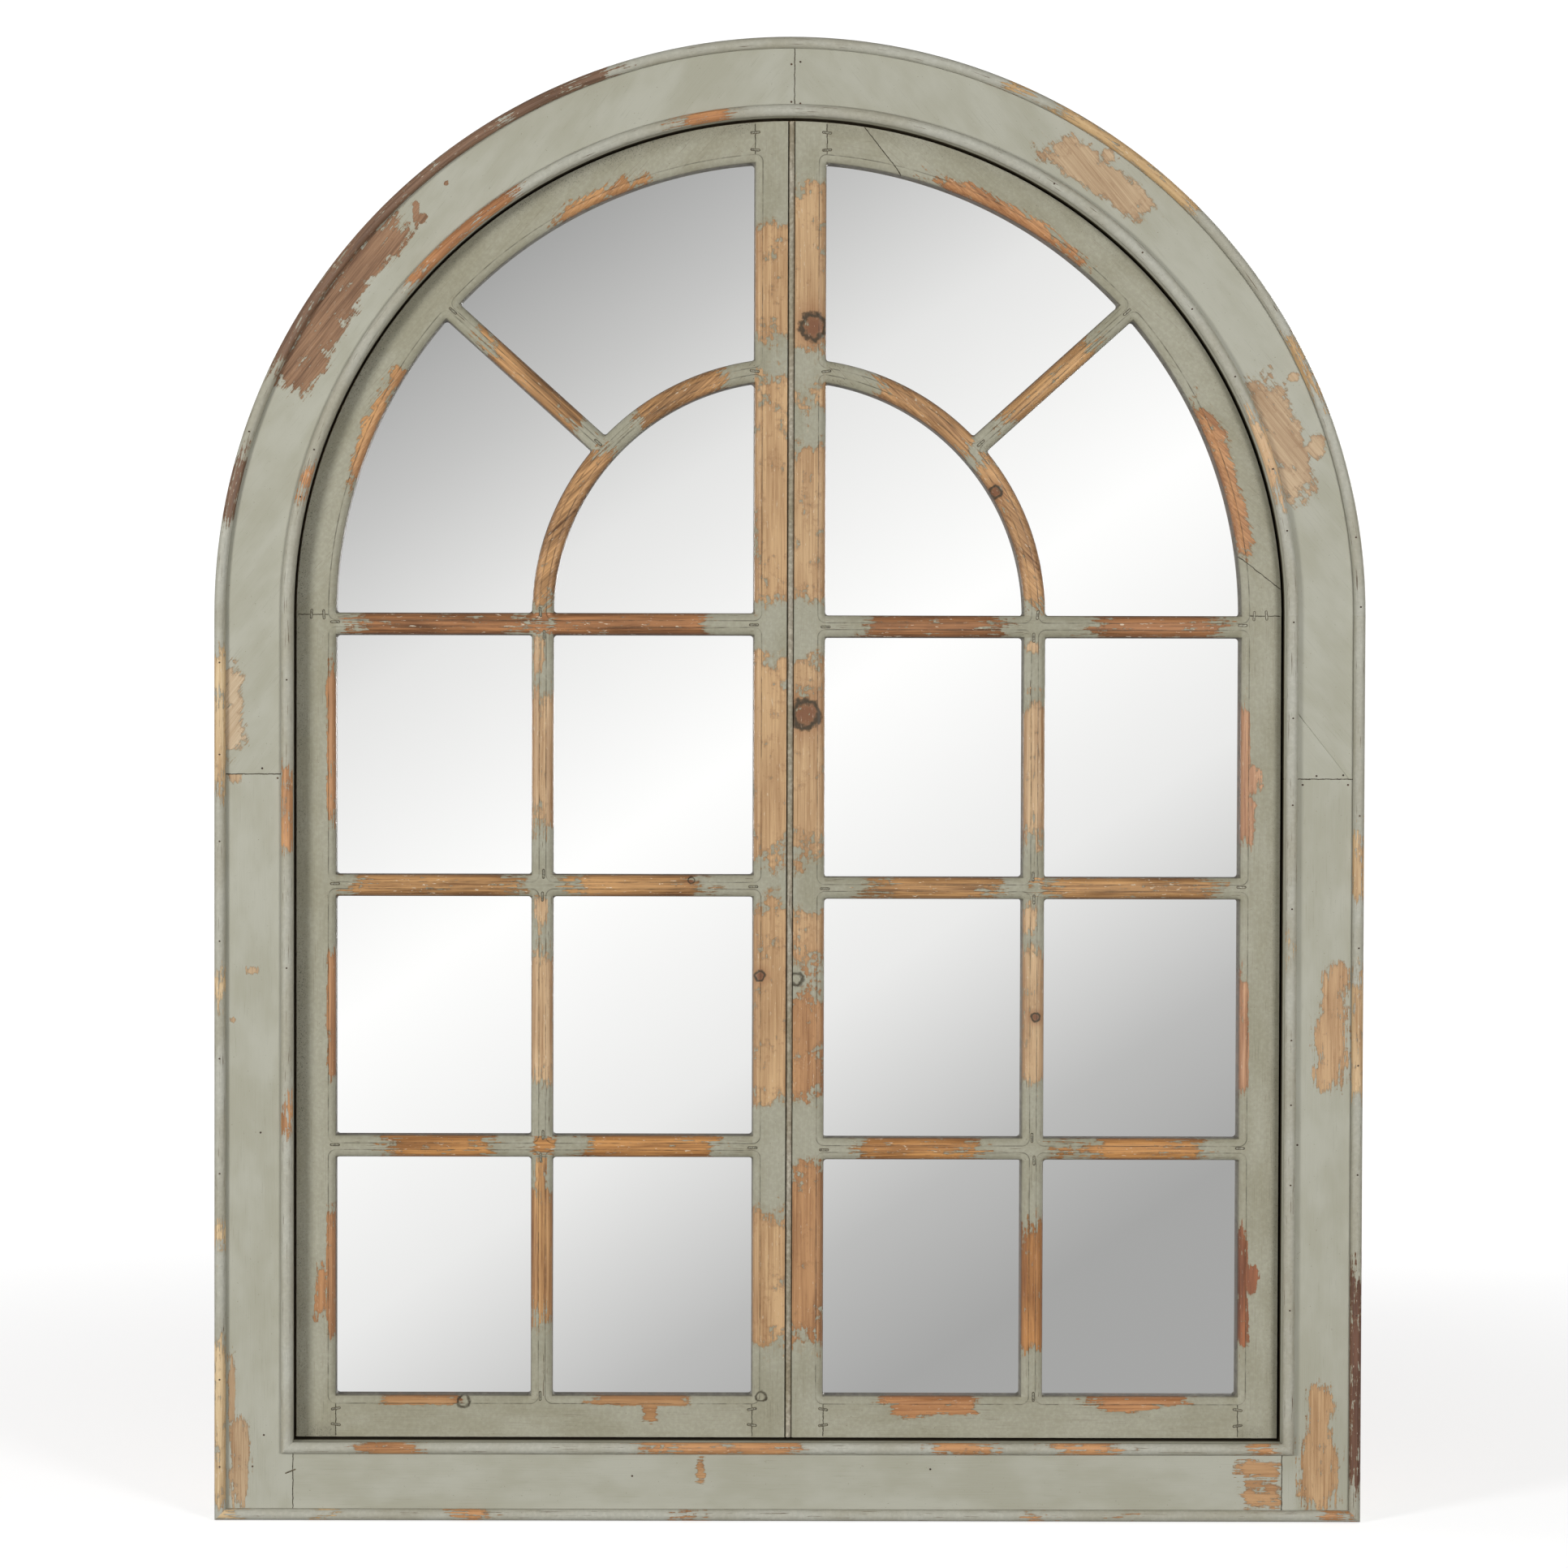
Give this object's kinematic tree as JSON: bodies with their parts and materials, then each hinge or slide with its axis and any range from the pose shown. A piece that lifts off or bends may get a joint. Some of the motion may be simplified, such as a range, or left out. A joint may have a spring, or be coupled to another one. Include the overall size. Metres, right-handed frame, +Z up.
{
  "type": "arched window mirror",
  "caption": "Arched wall mirror framed like an old two-leaf window, with glazing bars and worn sage paint over pine.",
  "frame": {"origin": "middle of the bounding box's underside: the base of the casing, centred in width and depth", "axes": "+X to the right seen from the front, +Y from the front towards the wall, +Z up"},
  "size_m": [0.93, 0.049, 1.2],
  "materials": {
    "casing_paint": "sage green paint, rubbed through to pine in places",
    "bead_paint": "sage green paint, worn through along the rounded top",
    "grey_bead_paint": "pitted grey-green paint",
    "sash_paint": "sage green paint, sanded through to pine in the middle of each stick",
    "bare_pine": "unfinished pine",
    "hardboard": "smooth brown hardboard",
    "mirror": "silvered plate glass",
    "plain_steel": "plain stamped steel",
    "zinc_steel": "bright zinc plate"
  },
  "bodies": {
    "frame": {"back_arch_left": "bare_pine", "back_arch_right": "bare_pine", "back_bottom_rail": "bare_pine", "back_panel": "hardboard", "back_stile_left": "bare_pine", "back_stile_right": "bare_pine", "casing_arch_corner": "casing_paint", "casing_arch_left": "casing_paint", "casing_arch_right": "casing_paint", "casing_bottom_rail": "casing_paint", "casing_stile_left": "casing_paint", "casing_stile_right": "casing_paint", "hanger_screws": "zinc_steel", "hanger_strap_left": "zinc_steel", "hanger_strap_right": "zinc_steel", "inner_bead_arch": "bead_paint", "inner_bead_bottom": "bead_paint", "inner_bead_left": "bead_paint", "inner_bead_right": "bead_paint", "left_arc_bar": "sash_paint", "left_arch_rail": "sash_paint", "left_bar_1": "sash_paint", "left_bar_2": "sash_paint", "left_bar_3": "sash_paint", "left_bottom_rail": "sash_paint", "left_meeting_stile": "sash_paint", "left_outer_stile": "sash_paint", "left_ray_bar": "sash_paint", "left_upright_1": "sash_paint", "left_upright_2": "sash_paint", "left_upright_3": "sash_paint", "meeting_bead": "grey_bead_paint", "mirror_plate": "mirror", "outer_bead_arch": "bead_paint", "outer_bead_bottom_long": "bead_paint", "outer_bead_bottom_short": "bead_paint", "outer_bead_left": "bead_paint", "outer_bead_right": "bead_paint", "panel_points": "plain_steel", "right_arc_bar": "sash_paint", "right_arch_rail_1": "sash_paint", "right_arch_rail_2": "sash_paint", "right_arch_rail_3": "sash_paint", "right_bar_1": "sash_paint", "right_bar_2": "sash_paint", "right_bar_3": "sash_paint", "right_bottom_rail": "sash_paint", "right_meeting_stile": "sash_paint", "right_outer_stile": "sash_paint", "right_ray_bar": "sash_paint", "right_upright_1": "sash_paint", "right_upright_2": "sash_paint", "right_upright_3": "sash_paint"},
    "ring_left": {"hanger_ring_left": "zinc_steel"},
    "ring_right": {"hanger_ring_right": "zinc_steel"}
  },
  "joints": [
    {"name": "ring_left_hinge", "type": "hinge", "parent": "frame", "child": "ring_left", "pos_m": [-0.397, 0.0217, 0.8795], "axis": [1, 0, 0], "range_deg": [0, 180]},
    {"name": "ring_right_hinge", "type": "hinge", "parent": "frame", "child": "ring_right", "pos_m": [0.397, 0.0217, 0.8795], "axis": [1, 0, 0], "range_deg": [0, 180]}
  ]
}
